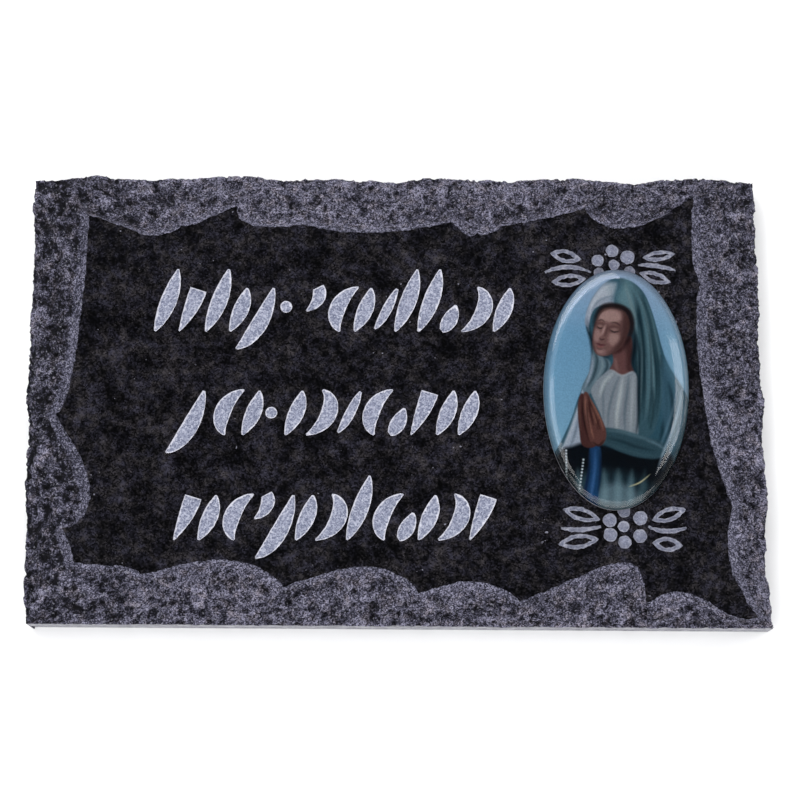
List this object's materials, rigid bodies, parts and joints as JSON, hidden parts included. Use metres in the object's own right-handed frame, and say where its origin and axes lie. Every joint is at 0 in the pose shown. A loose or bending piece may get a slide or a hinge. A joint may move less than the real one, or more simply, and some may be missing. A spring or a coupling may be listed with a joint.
{
  "type": "grave plaque",
  "caption": "Rectangular granite memorial plaque with a pitched border, rows of sunk painted strokes and a clear-domed oval picture.",
  "frame": {"origin": "middle of the flat back, on the surface that the plaque lies on", "axes": "+X to the plaque's right side, +Y to its top side, +Z out of the polished face"},
  "size_m": [0.252, 0.157, 0.0237],
  "materials": {
    "granite": "polished face, rough pitched border, painted sunk strokes",
    "printed_plate": "colour print",
    "clear_resin": "clear, glossy"
  },
  "bodies": {
    "root": {"granite_slab": "granite", "portrait_print": "printed_plate", "resin_dome": "clear_resin"}
  },
  "joints": []
}
